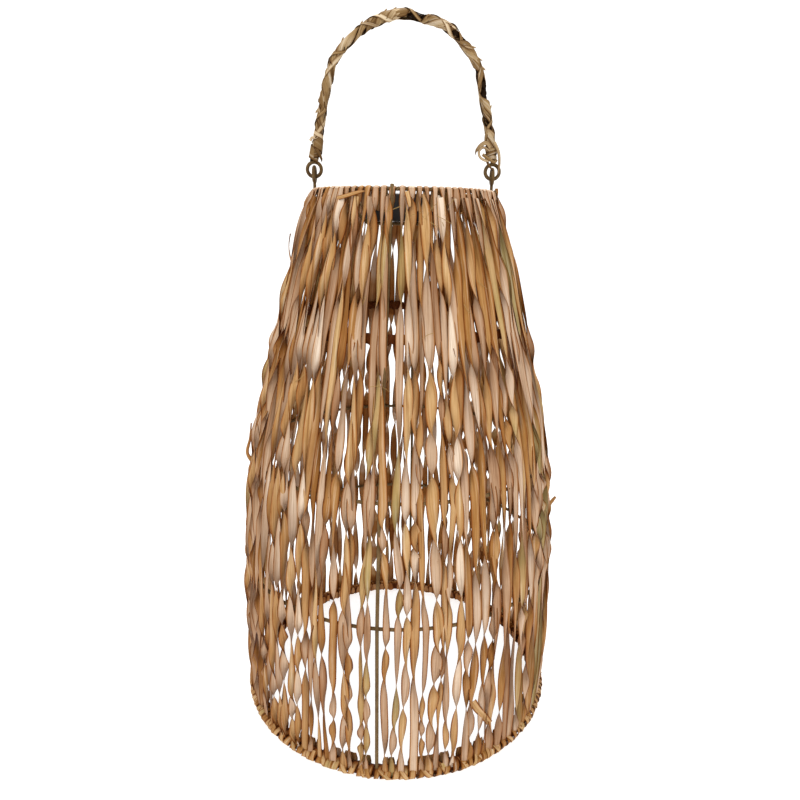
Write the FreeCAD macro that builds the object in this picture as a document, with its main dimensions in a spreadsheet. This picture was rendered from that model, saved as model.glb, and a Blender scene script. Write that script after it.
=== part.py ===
"""A garden lantern: a wire frame bound with twisted leaf strips, a wrapped handle, and a solar light.


Millimetres. The lantern stands on the plane z = 0 with its axis on Z, its front towards -Y and its handle in
the XZ plane. Every driving size is a cell of the sheet "Sizes"; everything else is an expression of them.
"""

import FreeCAD, Part
import math
import os
import re

import Sketcher
from FreeCAD import Placement, Rotation, Vector

SIZES = {
    # the welded wire frame: five rings, from the rim down to the base, and four uprights outside them
    "wire_radius": 1.5,
    "rim_radius": 76.5,
    "rim_height": 478.0,
    "shoulder_radius": 107.0,
    "shoulder_height": 368.0,
    "middle_radius": 135.5,
    "middle_height": 247.0,
    "belly_radius": 145.5,
    "belly_height": 144.0,
    "base_radius": 143.0,
    "base_height": 4.2,
    "frame_turn": 354.0,
    "weld_sink": 0.2,
    "upright_tail": 3.0,
    # leaf wound round three of the rings
    "rim_wrap_radius": 3.4,
    "shoulder_wrap_radius": 2.6,
    "base_wrap_radius": 4.6,
    # the leaf strips, which stand in even slots round the frame; an upright takes one slot of each quarter
    "strip_width": 3.2,
    "strip_thickness": 0.8,
    "strip_gap": 0.2,
    "strip_sink": 1.6,
    # two wire eyelets stand on the rim and link the two eyes of the handle
    "stem_radius": 1.3,
    "stem_length": 3.6,
    "eyelet_radius": 6.0,
    "link_gap": 1.0,
    "handle_rise": 113.0,
    "arch_radius": 66.0,
    "handle_wrap_radius": 4.6,
    "wrap_rise": 9.5,
    "tip_radius": 2.6,
    "tip_start": 2.2,
    "knot_radius": 5.8,
    "fit_gap": 0.05,
    # the wire cradle that hangs from the rim and carries the light
    "cradle_inset": 6.5,
    "cradle_turn": 39.0,
    "arm_clearance": 1.3,
    "seat_gap": 0.3,
    # the light's casing
    "light_drop": 23.5,
    "light_radius": 34.5,
    "case_wall": 1.8,
    "case_chamfer": 0.8,
    "ledge_width": 1.7,
    "seal_thickness": 1.1,
    "deck_thickness": 2.0,
    "plate_thickness": 2.4,
    "plate_gap": 0.2,
    "cover_thickness": 1.1,
    "cover_sink": 0.1,
    "panel_thickness": 1.2,
    "panel_inset": 1.6,
    # what the casing holds
    "board_inset": 3.2,
    "board_front": 9.0,
    "board_back": 12.0,
    "board_rise": 2.1,
    "board_thickness": 1.6,
    "cell_radius": 5.2,
    "cell_length": 43.5,
    "cell_room": 1.0,
    "nub_radius": 1.9,
    "nub_length": 1.0,
    "contact_thickness": 0.6,
    "contact_width": 9.0,
    "contact_height": 9.4,
    "led_radius": 2.5,
    "led_length": 0.8,
    "lens_radius": 8.0,
    "lens_flange": 1.6,
    "lens_drop": 2.5,
    "lens_wall": 1.3,
    # its screws and its switch
    "boss_radius": 3.2,
    "boss_inset": 1.8,
    "thread_radius": 1.1,
    "thread_length": 6.6,
    "thread_room": 1.0,
    "head_radius": 2.6,
    "head_height": 1.2,
    "head_sink": 0.2,
    "switch_room": 6.1,
    "switch_width": 3.6,
    "switch_length": 8.5,
    "knob_width": 1.8,
    "knob_length": 3.0,
    "knob_travel": 2.0,
    "knob_reach": 1.0,
    "slide_gap": 0.2,
}

QUARTERS = 4
SLOTS_PER_QUARTER = 31
STRIPS_PER_GROUP = 6
GROUPS_PER_QUARTER = 5
SLOT_ANGLE = 360.0 / (QUARTERS * SLOTS_PER_QUARTER)
SCREW_ANGLES = (90, 210, 330)
SIDES = {"left": -1, "right": 1}

# the rings that the strips and the uprights stand against: radius, height, and how far the wire stands out
LEVELS = (
    ("base_radius", "base_height", "wire_radius"),
    ("belly_radius", "belly_height", "wire_radius"),
    ("middle_radius", "middle_height", "wire_radius"),
    ("shoulder_radius", "shoulder_height", "shoulder_wrap_radius"),
    ("rim_radius", "rim_height", "wire_radius"),
)

# sizes and places that follow from the sheet's
EYELET_HEIGHT = "(rim_height + rim_wrap_radius + stem_length + wire_radius + eyelet_radius)"
PIVOT_HEIGHT = f"({EYELET_HEIGHT} - eyelet_radius + 2 * wire_radius + link_gap)"
EYE_TOP = f"({EYELET_HEIGHT} + eyelet_radius + 2 * wire_radius + link_gap)"
EYE_RADIUS = f"(({EYE_TOP} - {PIVOT_HEIGHT}) / 2)"
HANDLE_TOP = f"({EYE_TOP} + handle_rise)"
WRAP_START = f"({EYE_TOP} + wrap_rise)"
LIGHT_BASE = "(rim_height - light_drop)"
CRADLE_HEIGHT = f"({LIGHT_BASE} - seat_gap - wire_radius)"
CRADLE_RADIUS = "(light_radius - cradle_inset)"
RECESS_DEPTH = "(panel_thickness + cover_thickness + 2 * fit_gap + cover_sink)"
LEDGE_HEIGHT = "(plate_thickness + seal_thickness + 2 * fit_gap)"
BOARD_HEIGHT = "(plate_thickness + board_rise)"
BOARD_TOP = f"({BOARD_HEIGHT} + board_thickness)"
DECK_UNDERSIDE = f"({BOARD_TOP} + 2 * cell_radius + cell_room)"
DECK_TOP = f"({DECK_UNDERSIDE} + deck_thickness)"
LIGHT_DEPTH = f"({DECK_TOP} + {RECESS_DEPTH})"
CASE_RADIUS = "(light_radius - case_wall)"
CHAMBER_RADIUS = f"({CASE_RADIUS} - ledge_width)"
SCREW_CIRCLE = f"({CHAMBER_RADIUS} - boss_radius - boss_inset)"
HEAD_DEPTH = "(head_height + head_sink)"
SWITCH_OFFSET = "(lens_radius + lens_flange + switch_room + switch_width / 2)"

doc = FreeCAD.newDocument("LeafLantern")
sheet = doc.addObject("Spreadsheet::Sheet", "Sizes")
nodes = []


def bound(expression):
    """Write an expression of size names as FreeCAD refers to the sheet's cells."""
    return re.sub(r"\b([a-z]+(?:_[a-z]+)+)\b", r"Sizes.\1", str(expression))


def value(expression):
    """The number that an expression of size names gives."""
    return float(sheet.evalExpression(bound(expression)))


def fill_sheet():
    """One row for each size: its name in column A, and its value, under that name, in column B."""
    for row, (name, number) in enumerate(SIZES.items(), start=1):
        sheet.set(f"A{row}", name)
        sheet.set(f"B{row}", str(number))
        sheet.setAlias(f"B{row}", name)
    doc.recompute()


def bind(thing, **expressions):
    """Bind properties of an object to expressions; x, y and z are its place."""
    for name, expression in expressions.items():
        path = f"Placement.Base.{name}" if name in ("x", "y", "z") else name
        thing.setExpression(path, bound(expression))
    return thing


def node(thing, label):
    """Name a finished sub-part; its label is also its file's name."""
    thing.Label = label
    nodes.append(thing)
    return thing


# Part primitives and booleans


def torus(ring, tube, z=0, x=0):
    return bind(doc.addObject("Part::Torus", "Torus"), Radius1=ring, Radius2=tube, x=x, z=z)


def cylinder(radius, height, z=0, x=0, y=0):
    return bind(doc.addObject("Part::Cylinder", "Cylinder"), Radius=radius, Height=height, x=x, y=y, z=z)


def block(length, width, height, x, y, z):
    """A box with its lowest corner at x, y, z."""
    box = doc.addObject("Part::Box", "Box")
    return bind(box, Length=length, Width=width, Height=height, x=x, y=y, z=z)


def cut(base, *tools):
    """Take each tool from the base in turn."""
    for tool in tools:
        result = doc.addObject("Part::Cut", "Cut")
        result.Base = base
        result.Tool = tool
        base = result
    return base


def join(*shapes):
    result = doc.addObject("Part::MultiFuse", "Join")
    result.Shapes = list(shapes)
    return result


# Sketches and bodies


def plane(body, role):
    return next(feature for feature in body.Origin.OriginFeatures if feature.Role == role)


def make_sketch(body, name, role):
    sketch = body.newObject("Sketcher::SketchObject", name)
    sketch.AttachmentSupport = [(plane(body, role), "")]
    sketch.MapMode = "FlatFace"
    return sketch


def hold(sketch, geometry, point, name, **distances):
    """Hold a point at distances x and y from the sketch's origin, each an expression of size names."""
    for axis, expression in distances.items():
        kind = "Distance" + axis.upper()
        index = sketch.addConstraint(Sketcher.Constraint(kind, -1, 1, geometry, point, value(expression)))
        sketch.renameConstraint(index, f"{name}_{axis}")
        sketch.setExpression(f"Constraints.{name}_{axis}", bound(expression))


def draw_line(sketch, start, end):
    return sketch.addGeometry(Part.LineSegment(Vector(*start, 0), Vector(*end, 0)), False)


def draw_chain(sketch, points, closed):
    """Straight lines through points, each an (x, y) pair of expressions."""
    numbers = [(value(x), value(y)) for x, y in points]
    ends = numbers[1:] + numbers[:1] if closed else numbers[1:]
    lines = [draw_line(sketch, start, end) for start, end in zip(numbers, ends)]
    for before, after in zip(lines, lines[1:]):
        sketch.addConstraint(Sketcher.Constraint("Coincident", before, 2, after, 1))
    if closed:
        sketch.addConstraint(Sketcher.Constraint("Coincident", lines[-1], 2, lines[0], 1))
    for index, (x, y) in enumerate(points):
        line, end = (lines[index], 1) if index < len(lines) else (lines[-1], 2)
        hold(sketch, line, end, f"corner{index}", x=x, y=y)


def draw_circle(sketch, name, radius, **centre):
    """A circle; a coordinate that is left out of its centre lies on the sketch's own axis."""
    spot = Vector(value(centre.get("x", 0)), value(centre.get("y", 0)), 0)
    circle = sketch.addGeometry(Part.Circle(spot, Vector(0, 0, 1), value(radius)), False)
    index = sketch.addConstraint(Sketcher.Constraint("Radius", circle, value(radius)))
    sketch.renameConstraint(index, f"{name}_radius")
    sketch.setExpression(f"Constraints.{name}_radius", bound(radius))
    hold(sketch, circle, 3, name, **centre)
    if "x" not in centre:
        sketch.addConstraint(Sketcher.Constraint("PointOnObject", circle, 3, -2))
    if "y" not in centre:
        sketch.addConstraint(Sketcher.Constraint("PointOnObject", circle, 3, -1))


def sweep(body, path, profile, corner="Round corner"):
    """Carry the profile along the path."""
    pipe = body.newObject("PartDesign::AdditivePipe", "Pipe")
    pipe.Profile = profile
    pipe.Spine = (path, [f"Edge{index + 1}" for index in range(path.GeometryCount)])
    pipe.Transition = corner
    return pipe


def turn_about_axis(body, angle):
    """Turn a body about the lantern's axis by an expression in degrees."""
    body.Placement = Placement(Vector(), Rotation(Vector(0, 0, 1), value(angle)))
    body.setExpression("Placement.Rotation.Angle", bound(angle))


def repeat_round(body, feature, axis_sketch, count, span):
    """Repeat a feature about the lantern's axis over a span in degrees; the copies may stand apart."""
    pattern = body.newObject("PartDesign::PolarPattern", "Round")
    pattern.Originals = [feature]
    pattern.Axis = (axis_sketch, ["V_Axis"])
    pattern.Mode = "Extent"
    pattern.Angle = span
    pattern.Occurrences = count
    body.Tip = pattern
    return pattern


# The frame


def frame_rings():
    """Five rings of wire."""
    names = ("base_ring", "belly_hoop", "middle_hoop", "shoulder_hoop", "top_ring")
    for label, (radius, height, _) in zip(names, LEVELS):
        node(torus(radius, "wire_radius", z=height), label)


def ring_wraps():
    """Sleeves of wound leaf on the rim, the shoulder and the base; the base's is flat where it stands."""
    def sleeve(ring, height, tube):
        return cut(torus(ring, tube, z=height), torus(ring, "wire_radius + fit_gap", z=height))

    node(sleeve("rim_radius", "rim_height", "rim_wrap_radius"), "rim_wrap")
    node(sleeve("shoulder_radius", "shoulder_height", "shoulder_wrap_radius"), "shoulder_wrap")
    below = cylinder("base_radius + 2 * base_wrap_radius", "base_wrap_radius", z="-base_wrap_radius")
    node(cut(sleeve("base_radius", "base_height", "base_wrap_radius"), below), "base_wrap")


def uprights():
    """Four wires up the outside of the rings, each welded where it crosses one."""
    for quarter, name in enumerate(("right", "back", "left", "front")):
        body = doc.addObject("PartDesign::Body", f"Upright{name}")
        points = [(f"{radius} + 2 * wire_radius - weld_sink", height) for radius, height, _ in LEVELS]
        lean = "(shoulder_radius - rim_radius) / (rim_height - shoulder_height)"
        points[-1] = (f"{points[-1][0]} - upright_tail * {lean}", "rim_height + upright_tail")
        path = make_sketch(body, "Path", "XZ_Plane")
        draw_chain(path, points, closed=False)
        profile = make_sketch(body, "Wire", "XY_Plane")
        profile.setExpression("AttachmentOffset.Base.z", bound("base_height"))
        draw_circle(profile, "wire", "wire_radius", x=points[0][0])
        sweep(body, path, profile)
        turn_about_axis(body, f"frame_turn + {quarter * 360 / QUARTERS}")
        node(body, f"upright_{name}")


def strip_outline(sketch):
    """The side view of one strip: five points up its inner face and back down its outer face."""
    inner = [(f"{radius} + {stand} + strip_gap", height) for radius, height, stand in LEVELS]
    inner[0] = (inner[0][0], "base_height + base_wrap_radius - strip_sink")
    inner[-1] = (inner[-1][0], "rim_height - rim_wrap_radius + strip_sink")
    outer = [(f"{x} + strip_thickness", y) for x, y in reversed(inner)]
    draw_chain(sketch, inner + outer, closed=True)


def leaf_strips():
    """Groups of strips, each strip a plain band held by the leaf wound on the base and the rim."""
    number = 0
    for quarter in range(QUARTERS):
        for group in range(GROUPS_PER_QUARTER):
            number += 1
            body = doc.addObject("PartDesign::Body", f"Strips{number:02d}")
            body.AllowCompound = True
            sketch = make_sketch(body, "Side", "XZ_Plane")
            strip_outline(sketch)
            pad = body.newObject("PartDesign::Pad", "Strip")
            pad.Profile = sketch
            pad.SideType = "Symmetric"
            pad.setExpression("Length", bound("strip_width"))
            repeat_round(body, pad, sketch, STRIPS_PER_GROUP, (STRIPS_PER_GROUP - 1) * SLOT_ANGLE)
            slot = quarter * SLOTS_PER_QUARTER + 1 + group * STRIPS_PER_GROUP
            turn_about_axis(body, f"frame_turn + {slot * SLOT_ANGLE}")
            node(body, f"leaf_strips_{number:02d}")


def rim_eyelets():
    """A loop of wire on a short stem, at each side of the rim, facing along X."""
    for name, side in SIDES.items():
        x = f"{side} * rim_radius"
        loop = torus("eyelet_radius", "wire_radius", x=x, z=EYELET_HEIGHT)
        loop.Placement.Rotation = Rotation(Vector(0, 1, 0), 90)
        foot = "rim_height + wire_radius - weld_sink"
        stem = cylinder("stem_radius", f"{EYELET_HEIGHT} - eyelet_radius - ({foot})", x=x, z=foot)
        node(join(loop, stem), f"rim_eyelet_{name}")


def cradle():
    """A small ring under the light, and four arms from it out to the rim."""
    node(torus(CRADLE_RADIUS, "wire_radius", z=CRADLE_HEIGHT), "cradle_ring")
    body = doc.addObject("PartDesign::Body", "Arms")
    body.AllowCompound = True
    path = make_sketch(body, "Path", "XZ_Plane")
    elbow = "light_radius + wire_radius + arm_clearance"
    rim_end = "rim_radius - wire_radius - weld_sink"
    draw_chain(
        path,
        [(CRADLE_RADIUS, CRADLE_HEIGHT), (elbow, CRADLE_HEIGHT), (rim_end, "rim_height")],
        closed=False,
    )
    profile = make_sketch(body, "Wire", "YZ_Plane")
    profile.setExpression("AttachmentOffset.Base.z", bound(CRADLE_RADIUS))
    draw_circle(profile, "wire", "wire_radius", y=CRADLE_HEIGHT)
    repeat_round(body, sweep(body, path, profile, "Right corner"), path, QUARTERS, 360)
    turn_about_axis(body, "cradle_turn")
    node(body, "cradle_arms")


# The handle

def arm_line():
    """The handle's straight arm on the right: its foot, and its direction up to where it meets the arch."""
    foot = Vector(value("rim_radius"), 0, value(EYE_TOP))
    centre = Vector(0, 0, value(f"{HANDLE_TOP} - arch_radius"))
    to_centre = centre - foot
    lean = math.atan2(to_centre.z, to_centre.x) - math.asin(value("arch_radius") / to_centre.Length)
    return foot, Vector(math.cos(lean), 0, math.sin(lean))


def handle_path(body, end=None):
    """Half of the handle's line: part of the arch, and a straight arm tangent to it."""
    sketch = make_sketch(body, "Path", "XZ_Plane")
    foot, along = arm_line()
    radius = value("arch_radius")
    centre = Vector(0, value(HANDLE_TOP) - radius, 0)
    touch = math.atan2(-along.x, along.z)
    circle = Part.Circle(centre, Vector(0, 0, 1), radius)
    arch = sketch.addGeometry(Part.ArcOfCircle(circle, touch, math.pi / 2), False)
    meet = (radius * math.cos(touch), centre.y + radius * math.sin(touch))
    eye = (foot.x, foot.z)
    share = (value(end) - meet[1]) / (eye[1] - meet[1]) if end else 1.0
    stop = tuple(m + share * (e - m) for m, e in zip(meet, eye))
    arm = draw_line(sketch, meet, stop)
    sketch.addConstraint(Sketcher.Constraint("Tangent", arch, 1, arm, 1))
    sketch.addConstraint(Sketcher.Constraint("PointOnObject", arch, 3, -2))
    sketch.addConstraint(Sketcher.Constraint("PointOnObject", arch, 2, -2))
    hold(sketch, arch, 2, "top", y=HANDLE_TOP)
    index = sketch.addConstraint(Sketcher.Constraint("Radius", arch, radius))
    sketch.renameConstraint(index, "arch_radius")
    sketch.setExpression("Constraints.arch_radius", bound("arch_radius"))
    last, last_end = arm, 2
    if end:
        hold(sketch, arm, 2, "stop", y=end)
        last = sketch.addGeometry(Part.LineSegment(Vector(*stop, 0), Vector(*eye, 0)), True)
        sketch.addConstraint(Sketcher.Constraint("Coincident", arm, 2, last, 1))
        sketch.addConstraint(Sketcher.Constraint("Parallel", arm, last))
    hold(sketch, last, last_end, "eye", x="rim_radius", y=EYE_TOP)
    return sketch


def handle_pipe(body, circles, end=None):
    """Carry circles about the handle's line down one side, and mirror that to the other side."""
    path = handle_path(body, end)
    profile = make_sketch(body, "Section", "YZ_Plane")
    for index, radius in enumerate(circles):
        draw_circle(profile, f"circle{index}", radius, y=HANDLE_TOP)
    pipe = body.newObject("PartDesign::AdditivePipe", "Pipe")
    pipe.Profile = profile
    pipe.Spine = (path, ["Edge1", "Edge2"])
    mirrored = body.newObject("PartDesign::Mirrored", "BothSides")
    mirrored.Originals = [pipe]
    mirrored.MirrorPlane = (plane(body, "YZ_Plane"), [""])
    body.Tip = mirrored


def handle():
    """The handle's wire with an eye at each end, the leaf wound on it, and what ends the winding."""
    wire = doc.addObject("PartDesign::Body", "HandleWire")
    handle_pipe(wire, ("wire_radius",))
    for name, side in SIDES.items():
        eye = wire.newObject("PartDesign::AdditiveTorus", f"Eye{name}")
        eye.Placement = Placement(Vector(), Rotation(Vector(1, 0, 0), 90))
        bind(eye, Radius1=EYE_RADIUS, Radius2="wire_radius")
        bind(eye, x=f"{side} * rim_radius", z=f"{PIVOT_HEIGHT} + {EYE_RADIUS}")
        wire.Tip = eye
    node(wire, "handle_wire")

    wrap = doc.addObject("PartDesign::Body", "HandleWrap")
    handle_pipe(wrap, ("wire_radius + fit_gap", "handle_wrap_radius"), end=WRAP_START)
    node(wrap, "handle_wrap")

    foot, along = arm_line()
    length = (value(WRAP_START) - foot.z) / along.z - value("tip_start")
    ends = (("handle_tip_left", -1, "tip_radius"), ("handle_knot_right", 1, "knot_radius"))
    for label, side, low in ends:
        high = "handle_wrap_radius" if side < 0 else "knot_radius"
        start = foot + along * value("tip_start")
        lean = math.degrees(math.atan2(along.x, along.z))
        place = Placement(Vector(side * start.x, 0, start.z), Rotation(Vector(0, 1, 0), side * lean))
        if low == high:
            outside = doc.addObject("Part::Cylinder", "Outside")
            bind(outside, Radius=high)
        else:
            outside = doc.addObject("Part::Cone", "Outside")
            bind(outside, Radius1=low, Radius2=high)
        inside = bind(doc.addObject("Part::Cylinder", "Inside"), Radius="wire_radius + fit_gap")
        for shape in (outside, inside):
            shape.Height = length
            shape.Placement = place
        node(cut(outside, inside), label)


# The light


def above(height):
    """A height above the light's underside."""
    return f"{LIGHT_BASE} + {height}"


def screw_spots():
    directions = [(f"cos({angle} deg)", f"sin({angle} deg)") for angle in SCREW_ANGLES]
    return [(f"{SCREW_CIRCLE} * {along}", f"{SCREW_CIRCLE} * {across}") for along, across in directions]


def light_housing():
    """A cup that opens downwards, with a recess for the panel in its top and three screw bosses inside."""
    outside = cylinder("light_radius", LIGHT_DEPTH, z=LIGHT_BASE)
    chamfer = doc.addObject("Part::Chamfer", "Chamfer")
    chamfer.Base = outside
    doc.recompute()
    top = value(above(LIGHT_DEPTH))
    width = value("case_chamfer")
    rims = [
        (index, width, width)
        for index, edge in enumerate(outside.Shape.Edges, start=1)
        if edge.Closed and abs(edge.CenterOfGravity.z - top) < 1e-6
    ]
    chamfer.Edges = rims
    recess = cylinder(CASE_RADIUS, RECESS_DEPTH, z=above(DECK_TOP))
    mouth = cylinder(CASE_RADIUS, LEDGE_HEIGHT, z=LIGHT_BASE)
    chamber = cylinder(CHAMBER_RADIUS, f"{DECK_UNDERSIDE} - {LEDGE_HEIGHT}", z=above(LEDGE_HEIGHT))
    bosses = []
    for x, y in screw_spots():
        low = "plate_thickness + fit_gap"
        boss = cylinder("boss_radius", f"{DECK_UNDERSIDE} - {low}", z=above(low), x=x, y=y)
        depth = f"{HEAD_DEPTH} + thread_length + thread_room - ({low})"
        bore = cylinder("thread_radius + fit_gap", depth, z=above(low), x=x, y=y)
        bosses.append(cut(boss, bore))
    node(join(cut(chamfer, recess, mouth, chamber), *bosses), "light_housing")


def base_plate():
    """The disc that closes the light, with holes for the lens, the switch and three sunk screws."""
    disc = cylinder(f"{CASE_RADIUS} - plate_gap", "plate_thickness", z=LIGHT_BASE)
    tools = [cylinder("lens_radius", "plate_thickness", z=LIGHT_BASE)]
    slot_width = "knob_width + 2 * slide_gap"
    slot_length = "knob_length + knob_travel + 2 * slide_gap"
    tools.append(
        block(
            slot_width, slot_length, "plate_thickness",
            x=f"{SWITCH_OFFSET} - ({slot_width}) / 2", y=f"-({slot_length}) / 2", z=LIGHT_BASE,
        )
    )
    for x, y in screw_spots():
        tools.append(cylinder("head_radius + slide_gap", HEAD_DEPTH, z=LIGHT_BASE, x=x, y=y))
        tools.append(cylinder("thread_radius + slide_gap", "plate_thickness", z=LIGHT_BASE, x=x, y=y))
    node(cut(disc, *tools), "base_plate")


def seal():
    """A flat ring between the plate and the casing's ledge."""
    low = above("plate_thickness + fit_gap")
    outside = cylinder(f"{CASE_RADIUS} - plate_gap", "seal_thickness", z=low)
    inside = cylinder(f"{CHAMBER_RADIUS} + plate_gap", "seal_thickness", z=low)
    node(cut(outside, inside), "seal_ring")


def panel():
    """The solar panel on the deck, and the clear disc over it."""
    low = f"{DECK_TOP} + fit_gap"
    side = f"({CASE_RADIUS} - panel_inset) * sqrt(2)"
    corner = f"-({side}) / 2"
    node(block(side, side, "panel_thickness", x=corner, y=corner, z=above(low)), "solar_panel")
    radius = f"{CASE_RADIUS} - plate_gap"
    height = f"{low} + panel_thickness + fit_gap"
    node(cylinder(radius, "cover_thickness", z=above(height)), "panel_cover")


def electrics():
    """The board, the cell lying on it between two contacts, and the lamp under it."""
    length = f"2 * sqrt(({CHAMBER_RADIUS} - board_inset)^2 - board_back^2)"
    board = block(
        length, "board_front + board_back", "board_thickness",
        x=f"-({length}) / 2", y="-board_front", z=above(BOARD_HEIGHT),
    )
    node(board, "circuit_board")

    height = above(f"{BOARD_TOP} + fit_gap + cell_radius")
    can = cylinder("cell_radius", "cell_length", x="-(cell_length + nub_length) / 2", z=height)
    nub = cylinder("nub_radius", "nub_length", x="(cell_length - nub_length) / 2", z=height)
    for shape in (can, nub):
        shape.Placement.Rotation = Rotation(Vector(0, 1, 0), 90)
    node(join(can, nub), "battery_cell")

    near = "(cell_length + nub_length) / 2 + fit_gap"
    plates = [
        block(
            "contact_thickness", "contact_width", "contact_height",
            x=x, y="-contact_width / 2", z=above(f"{BOARD_TOP} + fit_gap"),
        )
        for x in (near, f"-({near}) - contact_thickness")
    ]
    node(join(*plates), "battery_contacts")

    stem = cylinder("led_radius", "led_length", z=above(f"{BOARD_HEIGHT} - fit_gap - led_length"))
    dome = doc.addObject("Part::Sphere", "Dome")
    bind(dome, Radius="led_radius", z=above(f"{BOARD_HEIGHT} - fit_gap - led_length"))
    dome.Angle2 = 0
    node(join(stem, dome), "led")


def lens():
    """A cup of frosted plastic that drops through the plate under the lamp, held by its flange."""
    top = "plate_thickness + fit_gap"
    neck = cylinder("lens_radius - fit_gap", f"lens_drop + {top}", z=f"{LIGHT_BASE} - lens_drop")
    flange = cylinder("lens_radius + lens_flange", "lens_flange / 2", z=above(top))
    solid = join(neck, flange)
    depth = f"lens_drop + {top} + lens_flange / 2 - lens_wall"
    floor = f"{LIGHT_BASE} - lens_drop + lens_wall"
    inside = cylinder("lens_radius - fit_gap - lens_wall", depth, z=floor)
    node(cut(solid, inside), "led_lens")


def case_screws():
    """Three screws, heads sunk in the plate and threads in the bosses."""
    screws = []
    for x, y in screw_spots():
        head = cylinder("head_radius", "head_height", z=above("head_sink"), x=x, y=y)
        thread = cylinder("thread_radius", "thread_length", z=above(HEAD_DEPTH), x=x, y=y)
        screws += [head, thread]
    node(join(*screws), "case_screws")


def switch():
    """The switch under the board, and the knob that slides along Y through the plate's slot."""
    low = "plate_thickness + slide_gap"
    height = f"{BOARD_HEIGHT} - fit_gap - ({low})"
    body = block(
        "switch_width", "switch_length", height,
        x=f"{SWITCH_OFFSET} - switch_width / 2", y="-switch_length / 2", z=above(low),
    )
    slot_width = "knob_width + 2 * slide_gap"
    slot_length = "knob_length + knob_travel + 2 * slide_gap"
    track = block(
        slot_width, slot_length, f"({height}) / 2 + slide_gap",
        x=f"{SWITCH_OFFSET} - ({slot_width}) / 2", y=f"-({slot_length}) / 2", z=above(low),
    )
    node(cut(body, track), "switch_body")
    knob = block(
        "knob_width", "knob_length", f"knob_reach + {low} + ({height}) / 2",
        x=f"{SWITCH_OFFSET} - knob_width / 2", y="-(knob_length + knob_travel) / 2",
        z=f"{LIGHT_BASE} - knob_reach",
    )
    node(knob, "power_switch")


def check(objects):
    """Stop at the first feature or shape that failed."""
    for thing in objects:
        if {"Invalid", "Error"} & set(thing.State):
            raise RuntimeError(f"{thing.Name} ({thing.Label}) failed: {thing.State}")
    for thing in nodes:
        if thing.Shape.isNull() or not thing.Shape.isValid() or not thing.Shape.Solids:
            raise RuntimeError(f"{thing.Label} has no valid solid")


def main():
    fill_sheet()
    frame_rings()
    ring_wraps()
    uprights()
    leaf_strips()
    rim_eyelets()
    cradle()
    handle()
    light_housing()
    base_plate()
    seal()
    panel()
    electrics()
    lens()
    case_screws()
    switch()
    doc.recompute()
    check(doc.Objects)
    os.makedirs("parts", exist_ok=True)
    for thing in nodes:
        thing.Shape.exportStep(f"parts/{thing.Label}.step")
    print(len(nodes), "nodes,", sum(len(thing.Shape.Solids) for thing in nodes), "solids")


main()
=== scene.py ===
import math

import bpy
import numpy as np
from mathutils import Matrix, Vector


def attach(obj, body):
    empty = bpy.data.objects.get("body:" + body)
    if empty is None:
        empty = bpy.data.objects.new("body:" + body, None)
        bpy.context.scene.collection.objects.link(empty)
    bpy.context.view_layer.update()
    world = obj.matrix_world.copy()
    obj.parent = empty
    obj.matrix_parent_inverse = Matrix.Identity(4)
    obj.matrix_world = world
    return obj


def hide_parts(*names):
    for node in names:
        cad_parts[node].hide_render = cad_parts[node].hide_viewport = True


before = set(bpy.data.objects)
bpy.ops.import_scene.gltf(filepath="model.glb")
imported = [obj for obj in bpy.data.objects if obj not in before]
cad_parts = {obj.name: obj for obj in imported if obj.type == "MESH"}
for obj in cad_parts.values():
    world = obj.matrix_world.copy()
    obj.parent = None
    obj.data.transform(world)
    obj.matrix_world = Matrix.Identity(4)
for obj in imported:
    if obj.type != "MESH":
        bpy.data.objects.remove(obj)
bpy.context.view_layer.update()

# A garden lantern of twisted leaf strips on a wire frame, with a wound handle and a solar light.
# Shapes are worked out in millimetres in the frame's own axes, and become metres in the mesh.

MM = 0.001
chance = np.random.default_rng(20)
scene = bpy.context.scene

# The wire frame, in millimetres: each hoop's radius and height from the rim down to the base
WIRE = 1.5
RIM = (76.5, 478.0)
SHOULDER = (107.0, 368.0)
MIDDLE = (135.5, 247.0)
BELLY = (145.5, 144.0)
BASE = (143.0, 4.2)
HOOPS = np.array([RIM, SHOULDER, MIDDLE, BELLY, BASE])
HOOP_HEIGHTS = HOOPS[:, 1]

# The strips stand in even slots, and an upright wire takes the first slot of each quarter
SLOTS = 124
SLOTS_PER_QUARTER = 31
STRIPS_PER_PIECE = 6
FIRST_SLOT = math.radians(-6.0)
RIM_PITCH = 4.1


# Camera, stage and lights


def make_camera():
    """A camera a little above the lantern's middle, looking down at it."""
    lens = bpy.data.cameras.new("camera")
    lens.lens = 28.71
    lens.sensor_width = 36.0
    camera = bpy.data.objects.new("camera", lens)
    scene.collection.objects.link(camera)
    place = Matrix.Translation((0.0, -0.5818, 0.4531))
    pitch = Matrix.Rotation(math.radians(74.5), 4, "X")
    roll = Matrix.Rotation(math.radians(0.82), 4, "Z")
    camera.matrix_world = place @ pitch @ roll
    scene.camera = camera


def add_light(name, place, aim, size, watts, colour):
    """A square soft light that shines from its place towards a point."""
    lamp = bpy.data.lights.new(name, "AREA")
    lamp.size = size
    lamp.energy = watts
    lamp.color = colour
    holder = bpy.data.objects.new(name, lamp)
    scene.collection.objects.link(holder)
    holder.location = place
    back = Vector(place) - Vector(aim)
    holder.rotation_euler = back.to_track_quat("Z", "Y").to_euler()


# Shader building


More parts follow.
